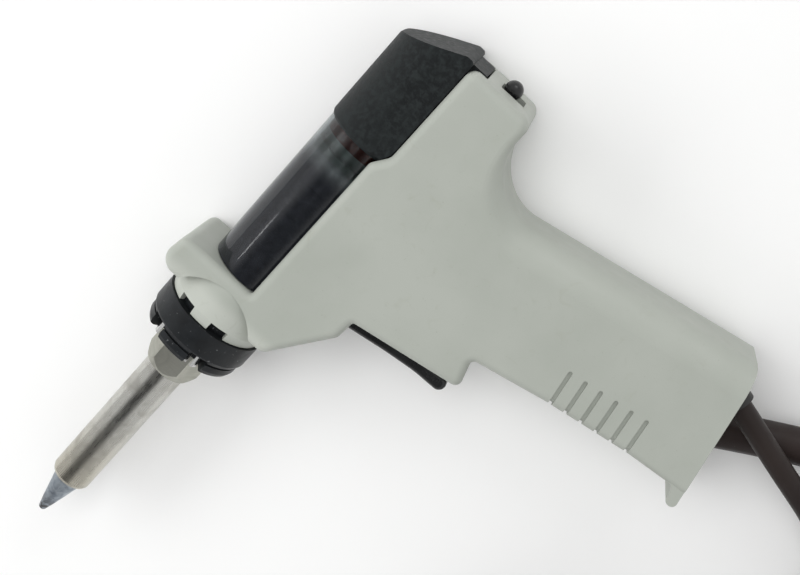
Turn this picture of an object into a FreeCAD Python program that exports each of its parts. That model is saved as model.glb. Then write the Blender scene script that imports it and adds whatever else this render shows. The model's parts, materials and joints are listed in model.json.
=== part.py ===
"""Electric desoldering gun (vacuum pump hand piece): one STEP file per physical piece.

Gun frame, millimetres: X runs rearwards along the barrel, Y is the gun's up, Z points to the
gun's left side.  X = 0 lies just behind the front wall, Y = 0 is the barrel axis and Z = 0 the
plane where the two housing halves meet.  On export everything moves so that the origin is the
middle of the underside of the gun as it lies on its right side.
"""
import FreeCAD
import Part
import math
import os

Vec = FreeCAD.Vector

# ---------------------------------------------------------------- general clearances
FIT = 0.05            # radial running fit of pins and shafts
SEAT = 0.1            # gap between pieces that only rest in each other
GAP = 0.3             # gap between pieces that move past each other

# ---------------------------------------------------------------- housing
HALF_THICK = 15.5     # half the housing thickness
WALL = 2.2            # side wall of the moulded halves
EDGE_R = 2.6          # rounding of the moulded outer edges
GRIP_R = 9.0          # rounding of the rear edge of the handle
WALL_FRONT_X = -13.2  # front face of the front wall
WALL_BACK_X = -1.2    # its rear face, where the glass tube starts
WALL_TOP_Y = 23.0     # top of the front wall, at its front face
WALL_REAR_TOP_Y = 20.9
SHELF_Y = -4.9        # top edge of the housing sides beside the tube
CAP_SHELF_Y = -8.4    # top edge of the housing sides beside the cap
SHELF_END_X = 52.8    # where the top edge starts to step down
CAP_SHELF_X = 58.0    # where the step has reached the cap level
REAR_X = 92.0         # rear face
BELLY_Y = -31.2       # underside of the rear body
WEB_R = 17.0          # arc between the rear body and the handle
GRIP_TOP_X = 64.94    # rear line of the handle where it meets the underside level
GRIP_LEAN = 0.2113    # rearward lean of the handle, X per unit of Y
LEDGE_X = 6.9         # front end of the ledge above the trigger
LEDGE_Y = -32.1       # ledge above the trigger
CHIN_Y = -18.7        # lower end of the front wall
GUARD_TOP_X = 13.6    # top of the trigger-side face of the housing
GUARD_X = 20.6        # bottom of that face
GUARD_Y = -68.0
RECESS_TOP_X = 15.8   # floor of the recess that the trigger swings into
RECESS_X = 22.2
RECESS_Y = -66.8      # lower end of that recess
GRIP_FRONT = ((29.9, -64.8), (35.7, -88.4), (40.8, -115.4), (42.6, -132.5))
SOLE_X = 39.8         # point on the slanted underside of the handle
SOLE_Y = -136.48
SOLE_SLOPE = 0.27     # rise of the underside per unit of X
TOE_X = 37.5          # foremost point of the toe
TOE_TOP_Y = -133.4
TOE_R = 1.6
HEEL_R = 5.0
COVE_X = -21.2        # centre of the round recess in the front of the sides
COVE_Y = 0.6
COVE_R = 16.4

# ---------------------------------------------------------------- nose skirt
SKIRT = ((-18.2, 16.3), (-15.2, 16.9), (-4.7, 15.4))   # outside of the skirt: X, radius
SKIRT_BORE_R = 14.3
SKIRT_BACK_X = -3.7   # rear end of the round chamber behind the skirt
VENT_DEEP = 2.9       # depth of the vents in the rim
VENT_WIDE = 6.1
VENT_ANGLES = (27.7, -16.8)   # degrees from +Z towards +Y, mirrored on the far side

# ---------------------------------------------------------------- finger grip
RIB_COUNT = 6
RIB_PITCH = 5.05
RIB_GROOVE = 1.3
RIB_DEEP = 0.9
RIB_LONG = 11.3
RIB_TOP = (36.4, -89.6)
RIB_STEP_X = 0.93     # rearward step of each groove

# ---------------------------------------------------------------- inner room of the housing
ROOM_HALF = HALF_THICK - WALL
TROUGH_HALF = 13.4    # half width of the trough for the tube
TROUGH_Y = -13.6      # floor of the trough
FLOOR_Y = -15.8       # underside of that floor
ROOM_BOTTOM_Y = -29.0
ROOM_REAR_X = 89.8
FLOOR_END_X = 82.0    # the trough floor stops here to leave room for the latch
TAIL_HALF = 10.2      # half width of the notch in the rear wall
GRIP_INSET = 2.4

# ---------------------------------------------------------------- housing screws
SCREW_SPOTS = ((6.0, -22.5), (74.0, -24.0), (43.0, -80.0), (64.5, -112.0))
SCREW_R = 1.4
SCREW_HEAD_R = 2.6
SCREW_HEAD_H = 2.2
SCREW_SINK = 2.8      # depth of the countersunk seat
SCREW_TIP_Z = 9.0
POST_R = 3.6

# ---------------------------------------------------------------- trigger
PIVOT_X = 11.4
PIVOT_Y = -27.6
PIVOT_R = 1.25
PIVOT_HALF = 11.5
TRIGGER_HALF = 5.9
TRIGGER_EDGE_R = 1.3
TRIGGER_SIDE = ((8.3, -28.6, 0), (8.1, -33.0, 8), (10.4, -45.4, 30), (11.9, -56.0, 30),
                (12.2, -66.1, 2.4), (17.1, -66.1, 2.3), (16.3, -56.0, 20), (14.4, -44.0, 20),
                (14.2, -28.6, 0))
LUG_R = 3.1
STEM_X = 21.0         # centre of the rounded nose of the trigger's stem
STEM_Y = -46.0
STEM_R = 3.0
STEM_HALF = 2.2
SPRING_WIRE_R = 0.45
SPRING_TURNS = 4
SPRING_SLOT = 3.2     # half width of the slot for the spring in the lug

# ---------------------------------------------------------------- switch
SWITCH_X = 26.5
SWITCH_DEEP = 10.3
SWITCH_LOW = -56.0
SWITCH_HIGH = -36.0
SWITCH_HALF = 3.2
PLUNGER_R = 1.2
PLUNGER_LONG = 3.2
PLUNGER_ROOM = 5.0
PEG_R = 1.2
PEG_SPOTS = ((33.6, -40.0), (33.6, -52.0))
TAG_YS = (-38.5, -46.0, -53.5)

# ---------------------------------------------------------------- heater and nozzle
BARREL_R = 6.7
BARREL_NECK_R = BARREL_R - 0.35   # behind its step
BARREL_STEP = 0.6      # the step is this far ahead of the nut
BARREL_FRONT_X = -97.8
BARREL_REAR_X = -24.0
BARREL_BORE_R = 5.5
BARREL_END = 1.6      # thickness of the closed front of the barrel
BARREL_EDGE = 1.4     # rounding of its front edge
NOZZLE_R = 5.05
NOZZLE_TIP_X = -114.2
NOZZLE_TIP_R = 1.3
NOZZLE_BORE_R = 0.6
NOZZLE_SHANK_R = 4.0
NOZZLE_BACK_X = -92.0
PIPE_R = 2.0
PIPE_BORE_R = 1.4
PIPE_BACK_X = 12.0
CORE_R = BARREL_BORE_R - 2 * SEAT   # ceramic heater sleeve inside the barrel
CORE_BACK_X = -30.0
NUT_CORNER_R = 9.3
NUT_FRONT_X = -44.0
NUT_FACE_R = 7.7
DISC_FRONT_X = -32.4
DISC_R = 16.3
DISC_EDGE = 1.9
DISC_BACK_X = -28.5
BASE_FRONT_X = -28.2
BASE_R = 17.1
BASE_EDGE = 1.8
BASE_BACK_X = -18.5
BASE_NECK_R = 15.6
SPIGOT_R = 13.9
SPIGOT_BACK_X = -12.5
BOLT_CIRCLE_R = 11.9
BOLT_ANGLES = (39.5, -22.0, 140.5, 202.0)   # degrees from +Z towards +Y
BOLT_HEAD_R = 2.4
BOLT_HEAD_X = -32.4
BOLT_R = 1.3
BOLT_TIP_X = -20.0
BOLT_SLOT_HALF = 0.7
BOLT_SLOT_DEEP = 4.6
POCKET_HALF = 3.1
POCKET_BACK_X = -27.0  # floor of the bolt pockets

# ---------------------------------------------------------------- solder tube and filters
TUBE_R = 13.0
TUBE_WALL = 1.2
TUBE_FRONT_X = WALL_BACK_X + GAP
TUBE_BACK_X = 57.0
SEAL_R = TUBE_R - TUBE_WALL - SEAT   # seals and filter parts inside the tube
FRONT_SEAL = (TUBE_FRONT_X, 6.0)
TRAP_X0 = 8.0         # solder-catching spring
TRAP_X1 = 35.0
TRAP_R = 8.6
TRAP_WIRE_R = 0.55
TRAP_TURNS = 7
PAD = (38.6, 42.8)
HOLDER = (42.8, 50.5)
REAR_SEAL = (50.5, 57.0)

# ---------------------------------------------------------------- rear cap
CAP_FRONT_X = 53.9
CAP_R = TUBE_R + 0.6
CAP_BOTTOM_Y = -8.1
CAP_TOP_BACK_X = 84.4
CAP_BACK_X = 93.4
CAP_SLOPE_Y = -5.5
CAP_FRONT_RISE = 2.12  # the lower front corner sits this much above the bottom
CAP_SEAT_X = 57.0     # bottom of the tube seat in the cap
CAP_ROOM = (62.0, 78.0)
CAP_ROOM_R = 8.5
TAIL_X = 92.35
TAIL_Y = -13.1
HUB_HALF = 9.9
CAP_SKIN = 0.5        # least depth of the hub behind the slanted rear face

# ---------------------------------------------------------------- vacuum line in the housing
PORT_X = 66.0
LINE_Z = -6.3
PORT_R = 1.5
NIPPLE_R = 2.1
NIPPLE_FLANGE_R = 4.0
NIPPLE_END_Y = -24.0
INNER_HOSE_R = 3.1
INNER_HOSE_BORE = 2.15

# ---------------------------------------------------------------- release latch
WINDOW_HALF = 4.2
WINDOW_TOP_Y = -17.9
WINDOW_LOW_Y = -26.3
SLIDER_X0 = 87.3
SLIDER_X1 = 89.3
SLIDER_HALF = 6.0
SLIDER_TOP_Y = -13.5
SLIDER_LOW_Y = -26.4
KNOB_R = 2.8
KNOB_X = 93.0
KNOB_Y = -21.1
LUG_LOW_Y = -18.2
LATCH_SPRING_X = 84.6
LATCH_SPRING_R = 1.9

# ---------------------------------------------------------------- cords
HOSE_R = 5.75
CABLE_R = 3.5
HOSE_EXIT = Vec(57.3, -131.75, LINE_Z)
HOSE_WAY = Vec(0.567, -0.824, 0)
CABLE_EXIT = Vec(72.3, -128.0, 6.0)
CABLE_WAY = Vec(-0.25, -0.97, 0)
CORD_SINK = 2.6       # how far each cord starts inside the underside
CABLE_IN = 13.0       # length of cable inside the handle
GROMMET_WALL = 1.4
HOSE_COIL_R = 57.5
HOSE_LAYERS = 3
CABLE_COIL_R = 35.0
CABLE_LAYERS = 4
STRAP = 1.1
STRAP_WIDE = 4.0
HOSE_START = 22.0      # straight run outside the handle
CABLE_START = 25.0
HOSE_POINTS = ((82.3, -175.5, -9.1), (87.3, -207.5, -10.05), (88.0, -239.5, -10.05))
CABLE_POINTS = ((58.8, -178.5, -1.6), (40.3, -200.0, -12.3), (5.8, -209.5, -12.3),
                (-28.2, -211.0, -12.3))
TAIL_LONG = 8.0       # straight end of the cord on top of each coil
TURN_CLEAR = 1.0      # run past the full turns before the first turn begins
STRAP_PLAY = 0.12
STRAP_BEARING = -100  # degrees from where the cord enters the coil
PLUG_R = 8.0
PLUG_LONG = 30.0
PIN_R = 0.75
PIN_LONG = 7.5
PIN_CIRCLE_R = 3.4
PIN_ROOM = 9.0        # depth of the open end around the pins
UNION_R = 5.2
UNION_LONG = 10.0
BARB_R = 4.3
BARB_LONG = 3.6
BARB_PITCH = 4.5
STEM_END = 26.0       # far end of the barbed stem
HOSE_TAIL_Z = HOSE_POINTS[-1][2] + 2 * HOSE_R * HOSE_LAYERS - 0.4
CABLE_TAIL_Z = CABLE_POINTS[-1][2] + CABLE_R * (2 * CABLE_LAYERS - 1) + PLUG_R + 0.1


# ================================================================ shape helpers
def outline(points):
    """Closed wire through (x, y, corner radius) points."""
    count = len(points)
    ends = []
    for i, (x, y, r) in enumerate(points):
        p = Vec(x, y, 0)
        if r <= 0:
            ends.append((p, p, None))
            continue
        before = Vec(points[i - 1][0], points[i - 1][1], 0)
        after = Vec(points[(i + 1) % count][0], points[(i + 1) % count][1], 0)
        u = (before - p).normalize()
        w = (after - p).normalize()
        half = u.getAngle(w) / 2
        reach = r / math.tan(half)
        centre = p + (u + w).normalize() * (r / math.sin(half))
        middle = centre + (p - centre).normalize() * r
        ends.append((p + u * reach, p + w * reach, middle))
    edges = []
    for i, (start, end, middle) in enumerate(ends):
        if middle is not None:
            edges.append(Part.Arc(start, middle, end).toShape())
        following = ends[(i + 1) % count][0]
        edges.append(Part.makeLine(end, following))
    return Part.Wire(edges)


def prism(points, z0, z1):
    wire = outline(points)
    wire.translate(Vec(0, 0, z0))
    return Part.Face(wire).extrude(Vec(0, 0, z1 - z0))


def block(x0, x1, y0, y1, z0, z1):
    return Part.makeBox(x1 - x0, y1 - y0, z1 - z0, Vec(x0, y0, z0))


def rod(start, end, radius):
    return Part.makeCylinder(radius, (end - start).Length, start, end - start)


def rod_x(x0, x1, radius, y=0.0, z=0.0):
    return rod(Vec(x0, y, z), Vec(x1, y, z), radius)


def rod_z(x, y, z0, z1, radius):
    return rod(Vec(x, y, z0), Vec(x, y, z1), radius)


def ring(start, end, outer, inner):
    return rod(start, end, outer).cut(rod(start, end, inner))


def turned(profile):
    """Solid of revolution about the X axis from (x, radius) points."""
    points = [Vec(x, r, 0) for x, r in profile]
    points.append(points[0])
    face = Part.Face(Part.makePolygon(points))
    return face.revolve(Vec(0, 0, 0), Vec(1, 0, 0), 360)


def rounded_prism(points, half, radius_of):
    """Prism whose two flat faces have rounded edges; radius_of(edge) gives both end radii."""
    blank = prism(points, -half, half)
    doc = FreeCAD.newDocument("rounding")
    base = doc.addObject("Part::Feature", "base")
    base.Shape = blank
    fillet = doc.addObject("Part::Fillet", "fillet")
    fillet.Base = base
    chosen = []
    for number, edge in enumerate(blank.Edges, 1):
        box = edge.BoundBox
        if box.ZLength > 1e-6:
            continue
        radii = radius_of(edge)
        if radii is not None:
            chosen.append((number, radii[0], radii[1]))
    fillet.Edges = chosen
    doc.recompute()
    shape = fillet.Shape.copy()
    FreeCAD.closeDocument(doc.Name)
    return shape


def coil_spring(start, end, radius, wire_r, turns):
    """Round-wire coil spring; start and end are the middles of its two ends."""
    axis = end - start
    height = axis.Length - 2 * wire_r
    helix = Part.makeLongHelix(height / turns, height, radius)
    profile = Part.Wire([Part.makeCircle(wire_r, Vec(radius, 0, 0), Vec(0, 1, 0))])
    spring = Part.Wire(helix.Edges).makePipeShell([profile], True, True)
    spring.translate(Vec(0, 0, wire_r))
    turn = FreeCAD.Rotation(Vec(0, 0, 1), axis)
    spring.Placement = FreeCAD.Placement(start, turn).multiply(spring.Placement)
    return spring


def run(points, radius, name=None, bore=0.0):
    """Tube along straight runs joined by tangent arcs; prints the bend radii of named runs."""
    edges = []
    here = points[0]
    bends = []
    for before, corner, after in zip(points, points[1:], points[2:]):
        u = (before - corner).normalize()
        w = (after - corner).normalize()
        half = u.getAngle(w) / 2
        reach = 0.45 * min((before - corner).Length, (after - corner).Length)
        bend = reach * math.tan(half)
        centre = corner + (u + w).normalize() * (bend / math.sin(half))
        middle = centre + (corner - centre).normalize() * bend
        edges.append(Part.makeLine(here, corner + u * reach))
        edges.append(Part.Arc(corner + u * reach, middle, corner + w * reach).toShape())
        here = corner + w * reach
        bends.append(bend)
    edges.append(Part.makeLine(here, points[-1]))
    path = Part.Wire(edges)
    way = points[1] - points[0]

    def swept(r):
        profile = Part.Wire([Part.makeCircle(r, points[0], way)])
        return path.makePipeShell([profile], True, False)

    tube = swept(radius)
    if bore > 0:
        tube = tube.cut(swept(bore))
    if name is not None:
        share = tube.Volume / (math.pi * (radius ** 2 - bore ** 2) * path.Length)
        print(name, "length", round(path.Length, 1), "bend radii", [round(b, 1) for b in bends],
              "volume over section x length", round(share, 4))
    return tube


# ================================================================ housing
def grip_rear_x(y, inset=0.0):
    """Rear line of the handle at height y, moved forwards by inset across the line."""
    return GRIP_TOP_X - GRIP_LEAN * (y - BELLY_Y) - inset * math.hypot(1, GRIP_LEAN)


def sole_y(x, inset=0.0):
    return SOLE_Y + SOLE_SLOPE * (x - SOLE_X) + inset * math.hypot(1, SOLE_SLOPE)


def housing_outline():
    """Side view of the housing, with the handle running on past its slanted underside."""
    far = -150.0
    low_x, low_y = GRIP_FRONT[2]
    return [(WALL_FRONT_X, WALL_TOP_Y, 5.0), (WALL_BACK_X, WALL_REAR_TOP_Y, 3.0),
            (WALL_BACK_X, SHELF_Y, 1.0),
            (SHELF_END_X, SHELF_Y, 3.0), (CAP_SHELF_X, CAP_SHELF_Y, 4.0),
            (REAR_X, CAP_SHELF_Y, 3.0), (REAR_X, BELLY_Y, 3.5), (GRIP_TOP_X, BELLY_Y, WEB_R),
            (grip_rear_x(far), far, 0), (low_x + 2.4 * (low_y - far) / 20, far, 0),
            (low_x, low_y, 10.0), (GRIP_FRONT[1][0], GRIP_FRONT[1][1], 10.0),
            (GRIP_FRONT[0][0], GRIP_FRONT[0][1], 1.5), (GUARD_X, GUARD_Y, 2.2),
            (GUARD_TOP_X, LEDGE_Y - 0.4, 1.0), (LEDGE_X, LEDGE_Y, 3.0),
            (WALL_FRONT_X, CHIN_Y, 4.0)]


def on_grip(point, inset):
    return abs(point.x - grip_rear_x(point.y, inset)) < 0.02


def grip_rounding(edge_r, grip_r, web_r, inset):
    """Rounding rule: grip_r along the handle's rear line, easing off along the web arc."""
    def radius_of(edge):
        first = edge.valueAt(edge.FirstParameter)
        last = edge.valueAt(edge.LastParameter)
        if max(first.y, last.y) < -149:
            return None
        if on_grip(first, inset) and on_grip(last, inset):
            return grip_r, grip_r
        curve = edge.Curve
        if isinstance(curve, Part.Circle) and abs(curve.Radius - web_r) < 0.01:
            if on_grip(first, inset):
                return grip_r, edge_r
            return edge_r, grip_r
        return edge_r, edge_r
    return radius_of


def toe():
    """Lip at the front of the handle's underside."""
    points = [(48.0, sole_y(48.0), 0), (TOE_X, sole_y(TOE_X), TOE_R), (TOE_X + 0.6, TOE_TOP_Y, TOE_R),
              (GRIP_FRONT[3][0] - 0.4, GRIP_FRONT[3][1] + 0.5, 0), (48.0, -125.0, 0)]
    side = HALF_THICK - 0.7
    return prism(points, -side, side)


def grip_grooves():
    """Slanted finger grooves around the front of the handle, cut RIB_DEEP deep."""
    lean = math.atan(GRIP_LEAN)
    core = [(GRIP_FRONT[1][0] - 1.2, GRIP_FRONT[1][1] + 5.5, 0), (60, -83, 0), (66, -116, 0),
            (GRIP_FRONT[2][0] + 0.3, GRIP_FRONT[2][1] - 4.0, 0)]
    inner = [(x + RIB_DEEP * math.hypot(1, GRIP_LEAN), y, r) for x, y, r in core]
    kept = prism(inner, -HALF_THICK + RIB_DEEP, HALF_THICK - RIB_DEEP)
    front = [e for e in kept.Edges if abs(e.BoundBox.ZLength) < 1e-6
             and e.BoundBox.XMin < 46 and e.BoundBox.YLength > 20]
    kept = kept.makeFillet(EDGE_R - 0.6, front)
    cutters = []
    for i in range(RIB_COUNT):
        bar = block(-3.0, RIB_LONG, -RIB_GROOVE / 2, RIB_GROOVE / 2, -20, 20)
        end = rod_z(RIB_LONG, 0, -20, 20, RIB_GROOVE / 2)
        bar = bar.fuse(end)
        spot = Vec(RIB_TOP[0] + i * RIB_STEP_X, RIB_TOP[1] - i * RIB_PITCH, 0)
        bar.Placement = FreeCAD.Placement(spot, FreeCAD.Rotation(Vec(0, 0, 1), math.degrees(lean)))
        cutters.append(bar.cut(kept))
    return cutters


def skirt():
    """Round nose skirt with vent notches in its rim."""
    body = turned([(SKIRT[0][0], 0), SKIRT[0], SKIRT[1], SKIRT[2], (SKIRT[2][0], 0)])
    for angle in VENT_ANGLES:
        for turn in (angle, 180 - angle):
            notch = block(SKIRT[0][0] - 1, SKIRT[0][0] + VENT_DEEP, -VENT_WIDE / 2, VENT_WIDE / 2,
                          SKIRT_BORE_R - 3, 20)
            notch.rotate(Vec(0, 0, 0), Vec(1, 0, 0), -turn)
            body = body.cut(notch)
    return body


def housing_blank():
    """Outer shape of the closed housing."""
    rule = grip_rounding(EDGE_R, GRIP_R, WEB_R, 0.0)
    body = rounded_prism(housing_outline(), HALF_THICK, rule)
    far = -170.0
    under = [(20, far, 0), (20, sole_y(20), 0), (grip_rear_x(-125) + 0.3, sole_y(84.9), HEEL_R),
             (110, -60, 0), (110, far, 0)]
    body = body.cut(prism(under, -20, 20))
    cove = rod_z(COVE_X, COVE_Y, -20, 20, COVE_R)
    body = body.cut(cove)
    return body.fuse([toe(), skirt()]).removeSplitter()


def room_outline():
    """Side view of the inner room: lower body, trigger side and handle."""
    far = -150.0
    return [(-5.0, FLOOR_Y, 0.8), (-5.0, -20.3, 0.8), (7.9, -29.4, 0.8), (18.2, -29.6, 1.5),
            (24.3, -63.9, 1.5), (31.9, -61.9, 1.5), (38.0, -88.2, 8.0), (43.0, -114.0, 8.0),
            (47.2, far, 0), (grip_rear_x(far, GRIP_INSET), far, 0),
            (grip_rear_x(ROOM_BOTTOM_Y, GRIP_INSET), ROOM_BOTTOM_Y, WEB_R + GRIP_INSET),
            (ROOM_REAR_X, ROOM_BOTTOM_Y, 1.5), (ROOM_REAR_X, FLOOR_Y, 0.8)]


def inner_room():
    """Lower body, trigger side and handle, following the outside at wall thickness."""
    corner_r = GRIP_R - GRIP_INSET + 0.2
    rule = grip_rounding(1.2, corner_r, WEB_R + GRIP_INSET, GRIP_INSET)
    room = rounded_prism(room_outline(), ROOM_HALF, rule)
    under = [(20, -170.0, 0), (20, sole_y(20, GRIP_INSET), 0), (110, sole_y(110, GRIP_INSET), 0),
             (110, -170.0, 0)]
    return room.cut(prism(under, -20, 20))


def openings():
    """Everything else that is cut through both halves."""
    trough = block(WALL_BACK_X, ROOM_REAR_X, TROUGH_Y, 30, -TROUGH_HALF, TROUGH_HALF)
    tail = block(ROOM_REAR_X - 1, REAR_X + 1, TROUGH_Y, 0, -TAIL_HALF, TAIL_HALF)
    latch_hole = block(FLOOR_END_X, ROOM_REAR_X, FLOOR_Y - 1, TROUGH_Y + 1, -ROOM_HALF + 1,
                       ROOM_HALF - 1)
    window = block(ROOM_REAR_X - 1, REAR_X + 1, WINDOW_LOW_Y, WINDOW_TOP_Y, -WINDOW_HALF,
                   WINDOW_HALF)
    chamber = rod_x(SKIRT[0][0] - 1, SKIRT_BACK_X, SKIRT_BORE_R)
    pipe_hole = rod_x(SKIRT_BACK_X - 1, WALL_BACK_X + 1, PIPE_R + GAP)
    wire_way = block(-8.5, -3.5, -20.5, -11.0, -5.0, 5.0)
    ledge_slot = block(PIVOT_X - 3.9, PIVOT_X + 3.8, LEDGE_Y - 2, LEDGE_Y + 3.5,
                       -TRIGGER_HALF - GAP, TRIGGER_HALF + GAP)
    stem_slot = block(GUARD_TOP_X, GUARD_X + 4, STEM_Y - 4.8, STEM_Y + 5.6, -STEM_HALF - GAP,
                      STEM_HALF + GAP)
    recess = prism([(GUARD_TOP_X - 4, LEDGE_Y + 0.5, 0), (RECESS_TOP_X, LEDGE_Y + 0.5, 0),
                    (RECESS_X, RECESS_Y, 0), (GUARD_TOP_X - 4, RECESS_Y, 0)],
                   -TRIGGER_HALF - GAP, TRIGGER_HALF + GAP)
    hose_way = HOSE_WAY.normalize()
    cable_way = CABLE_WAY.normalize()
    hose_hole = rod(HOSE_EXIT - hose_way * 9, HOSE_EXIT + hose_way * 9, HOSE_R + GROMMET_WALL)
    cable_hole = rod(CABLE_EXIT - cable_way * 9, CABLE_EXIT + cable_way * 9,
                     CABLE_R + GROMMET_WALL)
    nipple_hole = rod(Vec(PORT_X, FLOOR_Y - 1, LINE_Z), Vec(PORT_X, TROUGH_Y + 1, LINE_Z),
                      NIPPLE_R + FIT)
    return [inner_room(), trough, tail, latch_hole, window, chamber, pipe_hole, wire_way,
            ledge_slot, recess, stem_slot, hose_hole, cable_hole, nipple_hole]


def housing_half(blank, cuts, ribs, side):
    """One moulded half; side is +1 for the left half and -1 for the right half."""
    low, high = (0, 20) if side > 0 else (-20, 0)
    half = blank.common(block(-60, 110, -160, 40, low, high))
    half = half.cut(cuts)
    half = half.cut(ribs)
    wall = side * (ROOM_HALF + 0.6)
    posts = []
    for x, y in SCREW_SPOTS:
        posts.append(rod_z(x, y, 0, wall, POST_R).common(blank))
    posts.append(rod_z(PIVOT_X, PIVOT_Y, side * (TRIGGER_HALF + GAP), wall, LUG_R))
    for x, y in PEG_SPOTS:
        posts.append(rod_z(x, y, side * (SWITCH_HALF + SEAT), wall, PEG_R + 1.4))
        posts.append(rod_z(x, y, side * 0.2, wall, PEG_R))
    half = half.fuse(posts)
    half = half.cut(rod_z(PIVOT_X, PIVOT_Y, 0, side * (PIVOT_HALF + SEAT), PIVOT_R + FIT))
    for x, y in SCREW_SPOTS:
        if side > 0:
            half = half.cut(rod_z(x, y, -1, SCREW_TIP_Z + 0.5, SCREW_R + FIT))
        else:
            half = half.cut(rod_z(x, y, 1, -20, SCREW_R + FIT))
            half = half.cut(rod_z(x, y, -HALF_THICK + SCREW_SINK, -20, SCREW_HEAD_R + GAP))
    return half.removeSplitter()


def housing_screws():
    seat = -HALF_THICK + SCREW_SINK
    screws = []
    for x, y in SCREW_SPOTS:
        head = rod_z(x, y, seat - SCREW_HEAD_H, seat, SCREW_HEAD_R)
        screw = head.fuse(rod_z(x, y, seat, SCREW_TIP_Z, SCREW_R))
        top = seat - SCREW_HEAD_H
        for turn in (0, 90):
            slot = block(-1.6, 1.6, -0.35, 0.35, top - 1, top + 1.1)
            slot.rotate(Vec(0, 0, 0), Vec(0, 0, 1), turn)
            slot.translate(Vec(x, y, 0))
            screw = screw.cut(slot)
        screws.append(screw)
    return Part.makeCompound(screws)


# ================================================================ trigger and switch
def trigger():
    """Finger bar with its pivot lugs and the stem that reaches the switch."""
    bar = prism(TRIGGER_SIDE, -TRIGGER_HALF, TRIGGER_HALF)
    front = [e for e in bar.Edges if e.BoundBox.ZLength < 1e-6 and e.BoundBox.YMax > -64
             and e.BoundBox.YLength > 3 and e.BoundBox.XMin < 12]
    bar = bar.makeFillet(TRIGGER_EDGE_R, front)
    lug = rod_z(PIVOT_X, PIVOT_Y, -TRIGGER_HALF, TRIGGER_HALF, LUG_R)
    stem = block(14.0, STEM_X, STEM_Y - STEM_R, STEM_Y + STEM_R, -STEM_HALF, STEM_HALF)
    nose = rod_z(STEM_X, STEM_Y, -STEM_HALF, STEM_HALF, STEM_R)
    shape = bar.fuse([lug, stem, nose])
    shape = shape.cut(rod_z(PIVOT_X, PIVOT_Y, -20, 20, PIVOT_R + FIT))
    spring_room = rod_z(PIVOT_X, PIVOT_Y, -SPRING_SLOT, SPRING_SLOT, LUG_R + 0.6)
    return shape.cut(spring_room).removeSplitter()


def trigger_pin():
    return rod_z(PIVOT_X, PIVOT_Y, -PIVOT_HALF, PIVOT_HALF, PIVOT_R)


def trigger_spring():
    reach = SPRING_SLOT - GAP
    return coil_spring(Vec(PIVOT_X, PIVOT_Y, -reach), Vec(PIVOT_X, PIVOT_Y, reach),
                       PIVOT_R + GAP + SPRING_WIRE_R, SPRING_WIRE_R, SPRING_TURNS)


def micro_switch():
    body = block(SWITCH_X, SWITCH_X + SWITCH_DEEP, SWITCH_LOW, SWITCH_HIGH, -SWITCH_HALF,
                 SWITCH_HALF)
    body = body.cut(rod_x(SWITCH_X - 1, SWITCH_X + PLUNGER_ROOM, PLUNGER_R + FIT, STEM_Y))
    for x, y in PEG_SPOTS:
        body = body.cut(rod_z(x, y, -5, 5, PEG_R + FIT))
    back = SWITCH_X + SWITCH_DEEP
    tags = [block(back - 1, back + 4.5, y - 0.3, y + 0.3, -2.2, 2.2) for y in TAG_YS]
    return body.fuse(tags)


def switch_plunger():
    tip = STEM_X + STEM_R + GAP
    return rod_x(tip, tip + PLUNGER_LONG + 2.0, PLUNGER_R, STEM_Y)


# ================================================================ nozzle and heater
def nozzle():
    cone = turned([(NOZZLE_TIP_X, 0), (NOZZLE_TIP_X, NOZZLE_TIP_R - 0.3),
                   (NOZZLE_TIP_X + 0.4, NOZZLE_TIP_R), (NOZZLE_TIP_X + 4.0, 2.25),
                   (BARREL_FRONT_X, NOZZLE_R), (BARREL_FRONT_X, NOZZLE_SHANK_R),
                   (NOZZLE_BACK_X, NOZZLE_SHANK_R), (NOZZLE_BACK_X, 0)])
    bore = rod_x(NOZZLE_TIP_X - 1, NOZZLE_TIP_X + 8, NOZZLE_BORE_R)
    wide = rod_x(NOZZLE_TIP_X + 7, NOZZLE_BACK_X + 1, PIPE_BORE_R)
    return cone.cut([bore, wide])


def barrel():
    """Steel tube around the heater, rounded in front and stepped down before the nut."""
    step_x = NUT_FRONT_X - BARREL_STEP
    body = turned([(BARREL_FRONT_X, 0), (BARREL_FRONT_X, BARREL_R - BARREL_EDGE),
                   (BARREL_FRONT_X + 0.3 * BARREL_EDGE, BARREL_R - 0.3 * BARREL_EDGE),
                   (BARREL_FRONT_X + BARREL_EDGE, BARREL_R), (step_x, BARREL_R),
                   (step_x, BARREL_NECK_R), (BARREL_REAR_X, BARREL_NECK_R), (BARREL_REAR_X, 0)])
    hole = rod_x(BARREL_FRONT_X - 1, BARREL_FRONT_X + 3, NOZZLE_SHANK_R + FIT)
    bore = rod_x(BARREL_FRONT_X + BARREL_END, BARREL_REAR_X + 1, BARREL_BORE_R)
    return body.cut([hole, bore])


def heating_core():
    return ring(Vec(NOZZLE_BACK_X, 0, 0), Vec(CORE_BACK_X, 0, 0), CORE_R, PIPE_R + FIT)


def suction_pipe():
    return ring(Vec(NOZZLE_BACK_X, 0, 0), Vec(PIPE_BACK_X, 0, 0), PIPE_R, PIPE_BORE_R)


def barrel_nut():
    corners = []
    for i in range(6):
        angle = math.radians(90 + 60 * i)
        corners.append(Vec(NUT_FRONT_X, NUT_CORNER_R * math.sin(angle),
                           NUT_CORNER_R * math.cos(angle)))
    corners.append(corners[0])
    hexagon = Part.Face(Part.makePolygon(corners))
    body = hexagon.extrude(Vec(DISC_FRONT_X - NUT_FRONT_X, 0, 0))
    cone = turned([(NUT_FRONT_X, 0), (NUT_FRONT_X, NUT_FACE_R),
                   (NUT_FRONT_X + 3.2, NUT_CORNER_R + 0.05), (DISC_FRONT_X, NUT_CORNER_R + 0.05),
                   (DISC_FRONT_X, 0)])
    return body.common(cone).cut(rod_x(NUT_FRONT_X - 1, DISC_FRONT_X + 1, BARREL_NECK_R + FIT))


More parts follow.
